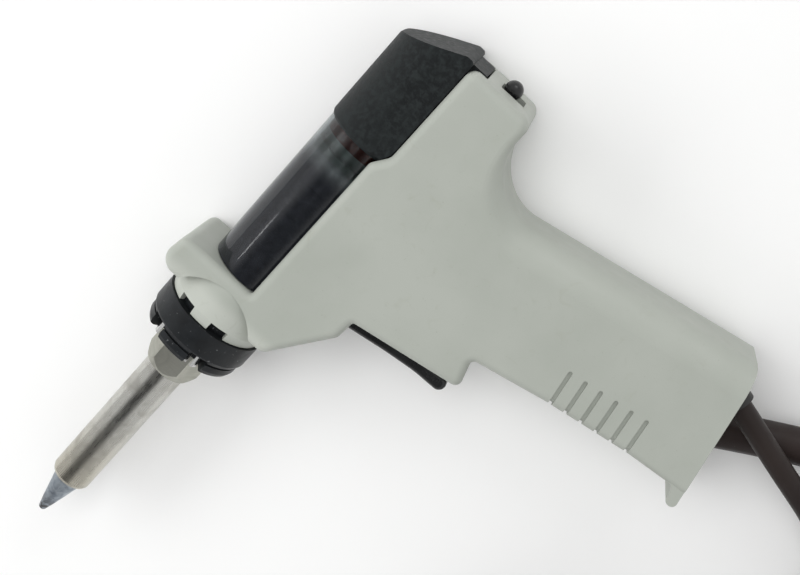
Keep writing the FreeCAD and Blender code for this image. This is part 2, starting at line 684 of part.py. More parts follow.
def bolt_places():
    for angle in BOLT_ANGLES:
        turn = math.radians(angle)
        yield angle, BOLT_CIRCLE_R * math.sin(turn), BOLT_CIRCLE_R * math.cos(turn)


def bolt_pockets():
    """Room around each bolt head, open to the rim of the discs."""
    rooms = []
    for angle, y, z in bolt_places():
        rooms.append(rod_x(DISC_FRONT_X - 1, POCKET_BACK_X, POCKET_HALF, y, z))
        way_out = block(DISC_FRONT_X - 1, POCKET_BACK_X, -POCKET_HALF, POCKET_HALF,
                        BOLT_CIRCLE_R, 20)
        way_out.rotate(Vec(0, 0, 0), Vec(1, 0, 0), -angle)
        rooms.append(way_out)
    return rooms


def heater_flange():
    """Front disc, cut away around the bolt heads."""
    body = turned([(DISC_FRONT_X, 0), (DISC_FRONT_X, DISC_R - DISC_EDGE),
                   (DISC_FRONT_X + 0.3 * DISC_EDGE, DISC_R - 0.3 * DISC_EDGE),
                   (DISC_FRONT_X + DISC_EDGE, DISC_R), (DISC_BACK_X, DISC_R), (DISC_BACK_X, 0)])
    body = body.cut(rod_x(DISC_FRONT_X - 1, DISC_BACK_X + 1, BARREL_NECK_R + FIT))
    return body.cut(bolt_pockets())


def heater_base():
    """Rear disc with the neck that carries the front disc and the spigot in the skirt."""
    body = turned([(DISC_BACK_X, 0), (DISC_BACK_X, BASE_NECK_R), (BASE_FRONT_X, BASE_NECK_R),
                   (BASE_FRONT_X, BASE_R - BASE_EDGE),
                   (BASE_FRONT_X + 0.3 * BASE_EDGE, BASE_R - 0.3 * BASE_EDGE),
                   (BASE_FRONT_X + BASE_EDGE, BASE_R), (BASE_BACK_X, BASE_R),
                   (BASE_BACK_X, SPIGOT_R), (SPIGOT_BACK_X, SPIGOT_R), (SPIGOT_BACK_X, 0)])
    body = body.cut(rod_x(DISC_BACK_X - 1, BARREL_REAR_X, BARREL_NECK_R + FIT))
    body = body.cut(rod_x(BARREL_REAR_X - 1, SPIGOT_BACK_X + 1, PIPE_R + FIT))
    body = body.cut(bolt_pockets())
    for angle, y, z in bolt_places():
        body = body.cut(rod_x(POCKET_BACK_X - 1, BOLT_TIP_X + 0.5, BOLT_R + FIT, y, z))
    return body


def flange_bolts():
    """Bolts with long, deeply slotted heads that stand in the pockets."""
    bolts = []
    for angle, y, z in bolt_places():
        bolt = rod_x(BOLT_HEAD_X, POCKET_BACK_X, BOLT_HEAD_R, y, z)
        bolt = bolt.fuse(rod_x(POCKET_BACK_X, BOLT_TIP_X, BOLT_R, y, z))
        slot = block(BOLT_HEAD_X - 1, BOLT_HEAD_X + BOLT_SLOT_DEEP, y - BOLT_SLOT_HALF,
                     y + BOLT_SLOT_HALF, z - BOLT_HEAD_R - 1, z + BOLT_HEAD_R + 1)
        bolts.append(bolt.cut(slot))
    return Part.makeCompound(bolts)


# ================================================================ filter cartridge
def glass_tube():
    return ring(Vec(TUBE_FRONT_X, 0, 0), Vec(TUBE_BACK_X, 0, 0), TUBE_R, TUBE_R - TUBE_WALL)


def front_seal():
    return ring(Vec(FRONT_SEAL[0], 0, 0), Vec(FRONT_SEAL[1], 0, 0), SEAL_R, PIPE_R + FIT)


def solder_trap():
    return coil_spring(Vec(TRAP_X0, 0, 0), Vec(TRAP_X1, 0, 0), TRAP_R, TRAP_WIRE_R, TRAP_TURNS)


def trap_seat():
    """Spacer hoop between the trap spring and the filter pad."""
    return ring(Vec(TRAP_X1, 0, 0), Vec(PAD[0], 0, 0), SEAL_R, TRAP_R - 1.4)


def filter_pad():
    return rod_x(PAD[0], PAD[1], SEAL_R)


def filter_holder():
    body = rod_x(HOLDER[0], HOLDER[1], SEAL_R)
    body = body.cut(rod_x(HOLDER[0] - 1, HOLDER[0] + 2.2, SEAL_R - 1.6))
    body = body.cut(rod_x(HOLDER[0], HOLDER[1] + 1, 2.5))
    groove = ring(Vec(HOLDER[0] + 4.0, 0, 0), Vec(HOLDER[0] + 5.6, 0, 0), SEAL_R + 1, SEAL_R - 1.2)
    return body.cut(groove)


def rear_seal():
    return ring(Vec(REAR_SEAL[0], 0, 0), Vec(REAR_SEAL[1], 0, 0), SEAL_R, 2.5)


def rear_cap():
    """Matt black holder that closes the tube and carries the vacuum passage."""
    side = [(CAP_FRONT_X, CAP_R + 0.01, 0), (CAP_TOP_BACK_X, CAP_R + 0.01, 2.0),
            (CAP_BACK_X, CAP_SLOPE_Y, 2.0), (CAP_BACK_X, CAP_BOTTOM_Y, 1.2),
            (CAP_SHELF_X + 0.6, CAP_BOTTOM_Y, 5.5), (CAP_FRONT_X, CAP_BOTTOM_Y + CAP_FRONT_RISE, 0)]
    arch = rod_x(CAP_FRONT_X, CAP_BACK_X, CAP_R)
    arch = arch.fuse(block(CAP_FRONT_X, CAP_BACK_X, -20, 0, -CAP_R, CAP_R))
    shell = prism(side, -20, 20).common(arch)
    rim = turned([(CAP_FRONT_X, 0), (CAP_FRONT_X, TUBE_R + 0.25), (CAP_FRONT_X + 1.3, CAP_R + 0.3),
                  (CAP_BACK_X, CAP_R + 0.3), (CAP_BACK_X, 0)])
    rim = rim.fuse(block(CAP_FRONT_X + 1.3, CAP_BACK_X, -20, 0, -CAP_R - 0.3, CAP_R + 0.3))
    shell = shell.common(rim)
    inside = [(CAP_SEAT_X, CAP_R, 0), (CAP_TOP_BACK_X - CAP_SKIN, CAP_R, 0),
              (CAP_BACK_X - CAP_SKIN, CAP_SLOPE_Y, 0), (CAP_BACK_X - CAP_SKIN, TAIL_Y, 0),
              (CAP_SEAT_X, TAIL_Y, 0)]
    hub = rod_x(CAP_SEAT_X, TAIL_X, TUBE_R + 0.05)
    hub = hub.fuse(block(CAP_ROOM[0], TAIL_X, TAIL_Y, 0, -HUB_HALF, HUB_HALF))
    hub = hub.common(block(CAP_SEAT_X, TAIL_X, TAIL_Y, 0, -HUB_HALF, HUB_HALF))
    hub = hub.common(prism(inside, -HUB_HALF, HUB_HALF))
    body = shell.fuse(hub)
    body = body.cut(rod_x(CAP_FRONT_X - 1, CAP_SEAT_X, TUBE_R + FIT))
    body = body.cut(rod_x(CAP_SEAT_X - 1, CAP_ROOM[0] + 1, 2.5))
    body = body.cut(rod_x(CAP_ROOM[0], CAP_ROOM[1], CAP_ROOM_R - 1.0))
    body = body.cut(rod(Vec(PORT_X, -CAP_ROOM_R + 3, LINE_Z), Vec(PORT_X, TAIL_Y - 1, LINE_Z),
                        PORT_R))
    return body.removeSplitter()


# ================================================================ vacuum line and wiring
def vacuum_nipple():
    top = TROUGH_Y + 0.25
    body = rod(Vec(PORT_X, top, LINE_Z), Vec(PORT_X, NIPPLE_END_Y, LINE_Z), NIPPLE_R)
    collar = rod(Vec(PORT_X, FLOOR_Y, LINE_Z), Vec(PORT_X, FLOOR_Y - 1.2, LINE_Z),
                 NIPPLE_FLANGE_R)
    body = body.fuse(collar)
    return body.cut(rod(Vec(PORT_X, top + 1, LINE_Z), Vec(PORT_X, NIPPLE_END_Y - 1, LINE_Z), 1.2))


def elbow_points():
    """Inner end, corner and outer end of the hose elbow."""
    way = HOSE_WAY.normalize()
    outer = HOSE_EXIT - way * CORD_SINK
    corner = HOSE_EXIT - way * (CORD_SINK + 7.0)
    up = Vec(-GRIP_LEAN, 1, 0).normalize()
    return corner + up * 8.0, corner, outer


def hose_elbow():
    """Bent fitting that joins the inner hose to the outer hose."""
    inner, corner, outer = elbow_points()
    collar = rod(outer, outer + (corner - outer).normalize() * 3.5, HOSE_R - 0.1)
    body = rod(outer, corner, INNER_HOSE_BORE + 0.6)
    body = body.fuse([Part.makeSphere(INNER_HOSE_BORE + 0.6, corner), collar])
    body = body.fuse(rod(corner, inner, INNER_HOSE_BORE - FIT))
    way = (outer - corner).normalize()
    body = body.cut(rod(corner, outer + way, 1.3))
    return body.cut([Part.makeSphere(1.3, corner), rod(corner, inner + (inner - corner), 1.3)])


def inner_hose():
    """Hose from the nipple under the cap down the handle to the elbow."""
    inner, corner, outer = elbow_points()
    up = (inner - corner).normalize()
    start = Vec(PORT_X, FLOOR_Y - 1.6, LINE_Z)
    points = [start, Vec(PORT_X, -34.0, LINE_Z), Vec(58.5, -68.0, LINE_Z),
              inner + up * 10.0, corner + up * (INNER_HOSE_BORE + 1.2)]
    return run(points, INNER_HOSE_R, None, INNER_HOSE_BORE)


def hose_grommet():
    way = HOSE_WAY.normalize()
    start = HOSE_EXIT - way * 4.6
    end = HOSE_EXIT + way * 1.6
    return ring(start, end, HOSE_R + GROMMET_WALL - FIT, HOSE_R + FIT)


def cable_grommet():
    way = CABLE_WAY.normalize()
    start = CABLE_EXIT - way * 4.6
    end = CABLE_EXIT + way * 1.4
    return ring(start, end, CABLE_R + GROMMET_WALL - FIT, CABLE_R + FIT)


def cable_inner():
    """The cable's own end inside the handle, up to where its wires part."""
    way = CABLE_WAY.normalize()
    return rod(CABLE_EXIT - way * CORD_SINK, CABLE_EXIT - way * CABLE_IN, CABLE_R)


def cable_clamp():
    """Clip that holds the cable to the left half."""
    way = CABLE_WAY.normalize()
    low = CABLE_EXIT - way * 7.0
    high = CABLE_EXIT - way * 11.0
    middle = (low + high) * 0.5
    clip = rod(low, high, CABLE_R + 1.6)
    clip = clip.fuse(block(middle.x - 4.5, middle.x - 0.5, middle.y - 1.8, middle.y + 1.8,
                           middle.z, ROOM_HALF - SEAT))
    clip = clip.cut(rod(low + way, high - way, CABLE_R + FIT))
    return clip


def wire_end(across, lift):
    """End of one wire on the cable's end face, and the point straight before it."""
    way = CABLE_WAY.normalize()
    side = Vec(-way.y, way.x, 0)
    end = CABLE_EXIT - way * CABLE_IN + side * across + Vec(0, 0, lift)
    return end - way * 4.0, end


def heater_wires():
    """Three wires from the heater down to the cable."""
    wires = []
    for z in (-2.5, 0.0, 2.5):
        before, end = wire_end(1.3, 0.65 * z)
        points = [Vec(SPIGOT_BACK_X, -8.5, z), Vec(-6.0, -8.5, z), Vec(-6.0, -17.3, z),
                  Vec(16.0, -17.3, z), Vec(46.0, -21.0, z + 1.0), Vec(56.0, -50.0, z + 1.0),
                  Vec(67.0, -88.0, z + 1.0), before, end]
        wires.append(run(points, 0.6))
    return Part.makeCompound(wires)


def switch_wires():
    """Two wires from the switch tags down to the cable."""
    back = SWITCH_X + SWITCH_DEEP + 4.5
    wires = []
    for y, z in ((TAG_YS[1], -1.0), (TAG_YS[2], 1.0)):
        before, end = wire_end(-1.4, z)
        points = [Vec(back, y, z), Vec(back + 4.0, y, z), Vec(51.0, y - 12.0, 8.5 + z),
                  Vec(61.5, -92.0, 8.5 + z), before, end]
        wires.append(run(points, 0.55))
    return Part.makeCompound(wires)


# ================================================================ release latch
def release_slider():
    """Latch plate behind the rear wall, its spring lug and its ball knob."""
    plate = block(SLIDER_X0, SLIDER_X1, SLIDER_LOW_Y, SLIDER_TOP_Y, -SLIDER_HALF, SLIDER_HALF)
    lug = block(LATCH_SPRING_X - 2.4, SLIDER_X0 + 0.5, LUG_LOW_Y, LUG_LOW_Y + 2.2, -2.6, 2.6)
    neck = rod_x(SLIDER_X1 - 0.5, KNOB_X, 1.8, KNOB_Y)
    knob = Part.makeSphere(KNOB_R, Vec(KNOB_X, KNOB_Y, 0))
    return plate.fuse([lug, neck, knob])


def release_spring():
    return coil_spring(Vec(LATCH_SPRING_X, ROOM_BOTTOM_Y + 0.05, 0),
                       Vec(LATCH_SPRING_X, LUG_LOW_Y - 0.05, 0), LATCH_SPRING_R, 0.35, 5)


# ================================================================ cords
def flat(vector):
    return Vec(vector.x, vector.y, 0).normalize()


def route(leaves, way, start, points):
    """Route points of a cord that leaves the handle straight along the given way."""
    way = way.normalize()
    return [leaves - way * CORD_SINK, leaves + way * start] + [Vec(*p) for p in points]


def coil_place(points, cord_r, coil_r):
    """Middle of a coil, the way into it and the point where the first turn begins.

    The cord runs straight until it is clear of the full turns."""
    way = flat(points[-1] - points[-2])
    clear = math.sqrt((coil_r + 2 * cord_r) ** 2 - coil_r ** 2) + TURN_CLEAR
    touch = points[-1] + way * clear
    centre = touch + Vec(way.y, -way.x, 0) * coil_r
    return centre, way, touch


def coil(points, cord_r, coil_r, layers, tail_z):
    """Outer shape of a coil of stacked turns with the stubs where the cord enters and leaves."""
    centre, way, touch = coil_place(points, cord_r, coil_r)
    low = points[-1].z - cord_r
    high = low + 2 * cord_r * layers
    body = Part.makeCylinder(coil_r + cord_r, high - low, Vec(centre.x, centre.y, low))
    body = body.cut(Part.makeCylinder(coil_r - cord_r, high - low, Vec(centre.x, centre.y, low)))
    rims = [e for e in body.Edges if isinstance(e.Curve, Part.Circle)]
    body = body.makeFillet(0.45 * cord_r, rims)
    body = body.fuse(rod(points[-1], touch + way * 2, cord_r))
    top = Vec(touch.x, touch.y, tail_z)
    tail = rod(top, top + way * TAIL_LONG, cord_r)
    rise = Part.makeBox(TAIL_LONG, cord_r * 1.2, tail_z - high + 1.0,
                        Vec(0, -cord_r * 0.6, 0))
    rise.rotate(Vec(0, 0, 0), Vec(0, 0, 1), math.degrees(math.atan2(way.y, way.x)))
    rise.translate(Vec(top.x, top.y, high - 1.0))
    return body.fuse([tail, rise]), top + way * TAIL_LONG, way


def strap(points, cord_r, coil_r, layers):
    """Square strap around all the turns of a coil."""
    centre, way, touch = coil_place(points, cord_r, coil_r)
    low = points[-1].z - cord_r
    high = low + 2 * cord_r * layers
    far = cord_r + STRAP_PLAY
    outer = block(coil_r - far - STRAP, coil_r + far + STRAP, -STRAP_WIDE / 2, STRAP_WIDE / 2,
                  low - STRAP_PLAY - STRAP, high + STRAP_PLAY + STRAP)
    inner = block(coil_r - far, coil_r + far, -STRAP_WIDE, STRAP_WIDE,
                  low - STRAP_PLAY, high + STRAP_PLAY)
    band = outer.cut(inner)
    turn = math.degrees(math.atan2(touch.y - centre.y, touch.x - centre.x)) + STRAP_BEARING
    band.rotate(Vec(0, 0, 0), Vec(0, 0, 1), turn)
    band.translate(Vec(centre.x, centre.y, 0))
    return band


def hose_connector(start, way):
    """Barbed union at the far end of the vacuum hose."""
    end = start + way * STEM_END
    stem_r = BARB_R - 0.9
    body = rod(start, start + way * UNION_LONG, UNION_R)
    body = body.fuse(rod(start + way * UNION_LONG, end, stem_r))
    for i in range(3):
        at = start + way * (UNION_LONG + 2.0 + BARB_PITCH * i)
        body = body.fuse(Part.makeCone(BARB_R, stem_r - 0.1, BARB_LONG, at, way))
    return body.cut(rod(start + way, end + way, stem_r - 1.4))


def cable_plug(start, way):
    """Round multi-pole plug."""
    body = rod(start, start + way * 5.0, CABLE_R + 1.5)
    body = body.fuse(rod(start + way * 5.0, start + way * PLUG_LONG, PLUG_R - 0.6))
    body = body.fuse(rod(start + way * 12.0, start + way * (PLUG_LONG - 4.0), PLUG_R))
    room = rod(start + way * (PLUG_LONG - PIN_ROOM), start + way * (PLUG_LONG + 1), PLUG_R - 1.8)
    return body.cut(room)


def plug_pins(start, way):
    side = way.cross(Vec(0, 0, 1))
    floor = start + way * (PLUG_LONG - PIN_ROOM)
    pins = []
    for i in range(5):
        turn = math.radians(36 + 72 * i)
        spot = floor + side * (PIN_CIRCLE_R * math.cos(turn))
        spot = spot + Vec(0, 0, PIN_CIRCLE_R * math.sin(turn))
        pins.append(rod(spot, spot + way * PIN_LONG, PIN_R))
    return Part.makeCompound(pins)


# ================================================================ assembly
def build():
    """All pieces in the gun frame, by node name; cord pieces come second."""
    blank = housing_blank()
    cuts = openings()
    ribs = grip_grooves()
    gun = {
        "housing_left": housing_half(blank, cuts, ribs, 1),
        "housing_right": housing_half(blank, cuts, ribs, -1),
        "housing_screws": housing_screws(),
        "trigger": trigger(),
        "trigger_pin": trigger_pin(),
        "trigger_spring": trigger_spring(),
        "micro_switch": micro_switch(),
        "switch_plunger": switch_plunger(),
        "nozzle": nozzle(),
        "barrel": barrel(),
        "barrel_nut": barrel_nut(),
        "heating_core": heating_core(),
        "suction_pipe": suction_pipe(),
        "heater_flange": heater_flange(),
        "heater_base": heater_base(),
        "flange_bolts": flange_bolts(),
        "glass_tube": glass_tube(),
        "front_seal": front_seal(),
        "solder_trap": solder_trap(),
        "trap_seat": trap_seat(),
        "filter_pad": filter_pad(),
        "filter_holder": filter_holder(),
        "rear_seal": rear_seal(),
        "rear_cap": rear_cap(),
        "vacuum_nipple": vacuum_nipple(),
        "inner_hose": inner_hose(),
        "hose_elbow": hose_elbow(),
        "hose_grommet": hose_grommet(),
        "cable_grommet": cable_grommet(),
        "cable_inner": cable_inner(),
        "cable_clamp": cable_clamp(),
        "heater_wires": heater_wires(),
        "switch_wires": switch_wires(),
        "release_slider": release_slider(),
        "release_spring": release_spring(),
    }
    hose = route(HOSE_EXIT, HOSE_WAY, HOSE_START, HOSE_POINTS)
    cable = route(CABLE_EXIT, CABLE_WAY, CABLE_START, CABLE_POINTS)
    hose_roll, hose_end, hose_way = coil(hose, HOSE_R, HOSE_COIL_R, HOSE_LAYERS, HOSE_TAIL_Z)
    cable_roll, cable_end, cable_way = coil(cable, CABLE_R, CABLE_COIL_R, CABLE_LAYERS,
                                            CABLE_TAIL_Z)
    cords = {
        "vacuum_hose": run(hose, HOSE_R, "vacuum_hose", HOSE_R - 1.9),
        "hose_coil": hose_roll,
        "hose_strap": strap(hose, HOSE_R, HOSE_COIL_R, HOSE_LAYERS),
        "hose_connector": hose_connector(hose_end, hose_way),
        "cable": run(cable, CABLE_R, "cable"),
        "cable_coil": cable_roll,
        "cable_strap": strap(cable, CABLE_R, CABLE_COIL_R, CABLE_LAYERS),
        "cable_plug": cable_plug(cable_end, cable_way),
        "plug_pins": plug_pins(cable_end, cable_way),
    }
    return gun, cords


def main():
    os.makedirs("parts", exist_ok=True)
    gun, cords = build()
    box = Part.makeCompound(list(gun.values())).optimalBoundingBox(False)
    shift = Vec(-(box.XMin + box.XMax) / 2, -(box.YMin + box.YMax) / 2, -box.ZMin)
    print("gun frame origin in the row frame:", [round(v, 4) for v in shift])
    print("gun size:", [round(v, 2) for v in (box.XLength, box.YLength, box.ZLength)])
    for name, shape in {**gun, **cords}.items():
        moved = shape.copy()
        moved.translate(shift)
        solids = moved.Solids
        fine = all(s.isValid() and s.isClosed() for s in solids)
        print(name, "solids", len(solids), "volume", round(moved.Volume, 1),
              "valid" if fine and solids else "BROKEN")
        moved.exportStep("parts/" + name + ".step")


main()
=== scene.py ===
import json
import math

import bpy
from mathutils import Matrix, Vector


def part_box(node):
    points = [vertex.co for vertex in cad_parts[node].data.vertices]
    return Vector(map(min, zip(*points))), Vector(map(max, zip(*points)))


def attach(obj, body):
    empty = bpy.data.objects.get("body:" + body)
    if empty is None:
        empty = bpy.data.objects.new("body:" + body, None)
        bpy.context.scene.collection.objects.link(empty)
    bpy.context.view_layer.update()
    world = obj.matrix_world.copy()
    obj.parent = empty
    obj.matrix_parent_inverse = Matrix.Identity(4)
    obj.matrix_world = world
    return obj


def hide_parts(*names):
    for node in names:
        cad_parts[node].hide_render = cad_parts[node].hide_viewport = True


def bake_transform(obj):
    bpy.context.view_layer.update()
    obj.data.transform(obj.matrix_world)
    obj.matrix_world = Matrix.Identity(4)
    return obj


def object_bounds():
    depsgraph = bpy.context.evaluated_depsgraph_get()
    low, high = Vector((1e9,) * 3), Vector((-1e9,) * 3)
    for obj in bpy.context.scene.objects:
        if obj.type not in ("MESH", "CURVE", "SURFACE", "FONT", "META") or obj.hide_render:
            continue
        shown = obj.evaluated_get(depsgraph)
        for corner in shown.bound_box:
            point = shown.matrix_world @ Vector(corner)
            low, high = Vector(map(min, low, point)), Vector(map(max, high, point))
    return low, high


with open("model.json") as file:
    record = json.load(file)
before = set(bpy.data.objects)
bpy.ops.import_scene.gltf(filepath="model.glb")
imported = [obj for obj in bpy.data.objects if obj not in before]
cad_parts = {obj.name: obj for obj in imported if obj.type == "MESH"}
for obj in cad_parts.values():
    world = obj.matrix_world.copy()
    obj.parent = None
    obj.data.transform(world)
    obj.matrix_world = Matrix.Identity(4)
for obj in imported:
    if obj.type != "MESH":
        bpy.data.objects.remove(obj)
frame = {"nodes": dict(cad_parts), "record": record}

cad_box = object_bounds()
MM = 0.001

# The gun's own axes: X along the barrel, 0 at 0.9 mm behind the front of the glass tube,
# Y up and Z to the gun's left side, through the middle of the barrel.
tube_low, tube_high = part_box("glass_tube")
barrel_low, barrel_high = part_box("barrel")
GUN = Vector((tube_low.x + 0.9 * MM, (barrel_low.y + barrel_high.y) / 2,
              (barrel_low.z + barrel_high.z) / 2))


def at(x, y, z):
    """Point of the row frame from millimetres along the gun's own axes."""
    return GUN + Vector((x, y, z)) * MM


# ---------------------------------------------------------------- camera
CAMERA_LENS = 60.08
CAMERA_SENSOR = 36.0
CAMERA_PLACE = (155.6, -13.8, 375.9)
CAMERA_RIGHT = (0.65131, -0.73730, -0.17942)     # towards the right edge of the picture
CAMERA_FORWARD = (-0.3236, -0.0560, -0.9445)


def add_camera():
    """Camera above the gun's left side, with the barrel down to the left."""
    data = bpy.data.cameras.new("camera")
    data.lens = CAMERA_LENS
    data.sensor_width = CAMERA_SENSOR
    camera = bpy.data.objects.new("camera", data)
    bpy.context.scene.collection.objects.link(camera)
    forward = Vector(CAMERA_FORWARD).normalized()
    up = Vector(CAMERA_RIGHT).normalized().cross(forward).normalized()
    turn = Matrix((forward.cross(up), up, -forward)).transposed()
    camera.matrix_world = Matrix.Translation(at(*CAMERA_PLACE)) @ turn.to_4x4()
    bpy.context.scene.camera = camera


add_camera()


# ---------------------------------------------------------------- cords
# In the gun's millimetres. Exits, ways and points are the same as in the CAD model.
HOSE_R = 5.75
CABLE_R = 3.5
HOSE_COIL_R = 57.5
CABLE_COIL_R = 35.0
HOSE_LAYERS = 3
CABLE_LAYERS = 4
CORD_SINK = 2.6        # how far each cord starts inside the underside
HOSE_EXIT = Vector((57.3, -131.75, -6.3))
HOSE_WAY = Vector((0.567, -0.824, 0)).normalized()
HOSE_START = 22.0
HOSE_POINTS = ((82.3, -175.5, -9.1), (87.3, -207.5, -10.05), (88.0, -239.5, -10.05))
CABLE_EXIT = Vector((72.3, -128.0, 6.0))
CABLE_WAY = Vector((-0.25, -0.97, 0)).normalized()
CABLE_START = 25.0
CABLE_POINTS = ((58.8, -178.5, -1.6), (40.3, -200.0, -12.3), (5.8, -209.5, -12.3),
                (-28.2, -211.0, -12.3))
HOSE_TAIL_Z = HOSE_POINTS[-1][2] + 2 * HOSE_R * HOSE_LAYERS - 0.4
PLUG_REST = 8.1        # plug axis above the top of the coil
CABLE_TAIL_Z = CABLE_POINTS[-1][2] + CABLE_R * (2 * CABLE_LAYERS - 1) + PLUG_REST
TAIL_LONG = 8.0        # straight end of the cord on top of each coil
TURN_CLEAR = 1.0       # run past the full turns before the first turn begins
TURN_POINTS = 16
CLIMB_FROM = 0.62      # share of a turn after which it climbs to the next layer
CLIMB_OVER = 0.34      # share of a turn that the climb takes
WANDER = 0.35          # how far a turn strays from a true circle


def ease(t):
    """Smooth step from 0 to 1."""
    t = min(max(t, 0.0), 1.0)
    return t * t * (3 - 2 * t)


def cord_points(leaves, way, start, points, cord_r, coil_r, layers, tail_z):
    """Control points of one cord from the handle to its far end, in the gun's millimetres."""
    way = way.normalized()
    line = [leaves - way * CORD_SINK, leaves + way * start] + [Vector(p) for p in points]
    onward = line[-1] - line[-2]
    onward.z = 0
    onward.normalize()
    clear = math.sqrt((coil_r + 2 * cord_r) ** 2 - coil_r ** 2) + TURN_CLEAR
    touch = line[-1] + onward * clear
    inward = Vector((onward.y, -onward.x, 0))
    centre = touch + inward * coil_r
    reach = coil_r / math.cos(math.pi / TURN_POINTS)
    low = line[-1].z
    top = low + 2 * cord_r * (layers - 1)
    last = layers * TURN_POINTS - 1
    for i in range(last + 1):
        turned = (i + 0.5) / TURN_POINTS
        level = int(turned) + ease((turned - int(turned) - CLIMB_FROM) / CLIMB_OVER)
        rise = min(low + 2 * cord_r * level, top)
        if level > layers - 1:
            rise = top + (tail_z - top) * (level - layers + 1)
        angle = 2 * math.pi * turned
        wander = WANDER * math.sin(1.7 * i + 0.21 * i * i) if 0 < i < last else 0
        spot = centre + (onward * math.sin(angle) - inward * math.cos(angle)) * (reach + wander)
        line.append(Vector((spot.x, spot.y, rise)))
    line.append(Vector((touch.x, touch.y, tail_z)) + onward * TAIL_LONG)
    return line


def cord_curve(name, points, radius):
    """Round tube along a smooth NURBS line that the cord's own points control.

    The points carry the tube's radius, because a curve's bounds grow by it.
    """
    data = bpy.data.curves.new(name, "CURVE")
    data.dimensions = "3D"
    data.bevel_depth = 1.0
    data.bevel_resolution = 5
    data.use_fill_caps = True
    spline = data.splines.new("NURBS")
    spline.points.add(len(points) - 1)
    for place, point in zip(spline.points, points):
        p = at(*point)
        place.co = (p.x, p.y, p.z, 1.0)
        place.radius = radius * MM
    spline.order_u = 3
    spline.use_endpoint_u = True
    spline.resolution_u = 8
    piece = bpy.data.objects.new(name, data)
    bpy.context.scene.collection.objects.link(piece)
    return piece


hose_points = cord_points(HOSE_EXIT, HOSE_WAY, HOSE_START, HOSE_POINTS, HOSE_R, HOSE_COIL_R,
                          HOSE_LAYERS, HOSE_TAIL_Z)
cable_points = cord_points(CABLE_EXIT, CABLE_WAY, CABLE_START, CABLE_POINTS, CABLE_R,
                           CABLE_COIL_R, CABLE_LAYERS, CABLE_TAIL_Z)
hose = cord_curve("hose_tube", hose_points, HOSE_R)
cable = cord_curve("cable_lead", cable_points, CABLE_R)
for piece, plain in ((hose, ("vacuum_hose", "hose_coil")), (cable, ("cable", "cable_coil"))):
    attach(piece, "gun")
    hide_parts(*plain)
nodes = frame["nodes"]


# ---------------------------------------------------------------- materials
class Look:
    """A node material built step by step: Principled shader, object coordinates, noises."""

    def __init__(self, name):
        self.material = bpy.data.materials.new(name)
        self.material.use_nodes = True
        self.tree = self.material.node_tree
        self.shader = self.tree.nodes["Principled BSDF"]
        self.coords = self.tree.nodes.new("ShaderNodeTexCoord").outputs["Object"]
        self.normal = None

    def set(self, **values):
        """Sets inputs of the shader, with underscores for the spaces in their names."""
        for key, value in values.items():
            self.shader.inputs[key.replace("_", " ")].default_value = value
        return self

    def noise(self, size_mm, detail=3.0, stretch=(1, 1, 1), rough=0.55, warp=0.0):
        """Noise with features of about that size; stretch lengthens them along an axis."""
        place = self.tree.nodes.new("ShaderNodeMapping")
        self.tree.links.new(self.coords, place.inputs["Vector"])
        for i in range(3):
            place.inputs["Scale"].default_value[i] = 1.0 / stretch[i]
        node = self.tree.nodes.new("ShaderNodeTexNoise")
        node.inputs["Scale"].default_value = 1.0 / (size_mm * MM)
        node.inputs["Detail"].default_value = detail
        node.inputs["Roughness"].default_value = rough
        node.inputs["Distortion"].default_value = warp
        self.tree.links.new(place.outputs["Vector"], node.inputs["Vector"])
        return node.outputs["Fac"]

    def spread(self, value, low, high, out_low=0.0, out_high=1.0, smooth=False):
        """Value remapped from low..high to out_low..out_high."""
        node = self.tree.nodes.new("ShaderNodeMapRange")
        node.interpolation_type = "SMOOTHSTEP" if smooth else "LINEAR"
        for key, number in (("From Min", low), ("From Max", high), ("To Min", out_low),
                            ("To Max", out_high)):
            node.inputs[key].default_value = number
        self.tree.links.new(value, node.inputs["Value"])
        return node.outputs["Result"]

    def axis(self, index):
        """One object coordinate, in metres of the row frame."""
        node = self.tree.nodes.new("ShaderNodeSeparateXYZ")
        self.tree.links.new(self.coords, node.inputs[0])
        return node.outputs[index]

    def math(self, kind, a, b):
        """Result of one operation; a and b are numbers or sockets."""
        node = self.tree.nodes.new("ShaderNodeMath")
        node.operation = kind
        for socket, value in zip(node.inputs, (a, b)):
            if isinstance(value, (int, float)):
                socket.default_value = value
            else:
                self.tree.links.new(value, socket)
        return node.outputs[0]

    def mix(self, factor, first, second):
        """Colour between first and second; each is an RGB triple or a socket."""
        node = self.tree.nodes.new("ShaderNodeMix")
        node.data_type = "RGBA"
        colour_sockets = [s for s in node.inputs if s.type == "RGBA"]
        for socket, value in zip(colour_sockets, (first, second)):
            if isinstance(value, tuple):
                socket.default_value = (*value, 1.0)
            else:
                self.tree.links.new(value, socket)
        self.tree.links.new(factor, node.inputs[0])
        return [s for s in node.outputs if s.type == "RGBA"][0]

    def link(self, socket, name):
        """Drives one input of the shader."""
        self.tree.links.new(socket, self.shader.inputs[name])
        return self

    def colour(self, socket):
        return self.link(socket, "Base Color")

    def roughness(self, socket):
        return self.link(socket, "Roughness")

    def bump(self, height, depth_mm, strength=1.0):
        """Relief of that depth on top of any earlier relief."""
        node = self.tree.nodes.new("ShaderNodeBump")
        node.inputs["Distance"].default_value = depth_mm * MM
        node.inputs["Strength"].default_value = strength
        self.tree.links.new(height, node.inputs["Height"])
        if self.normal is not None:
            self.tree.links.new(self.normal, node.inputs["Normal"])
        self.normal = node.outputs["Normal"]
        self.tree.links.new(self.normal, self.shader.inputs["Normal"])
        return self


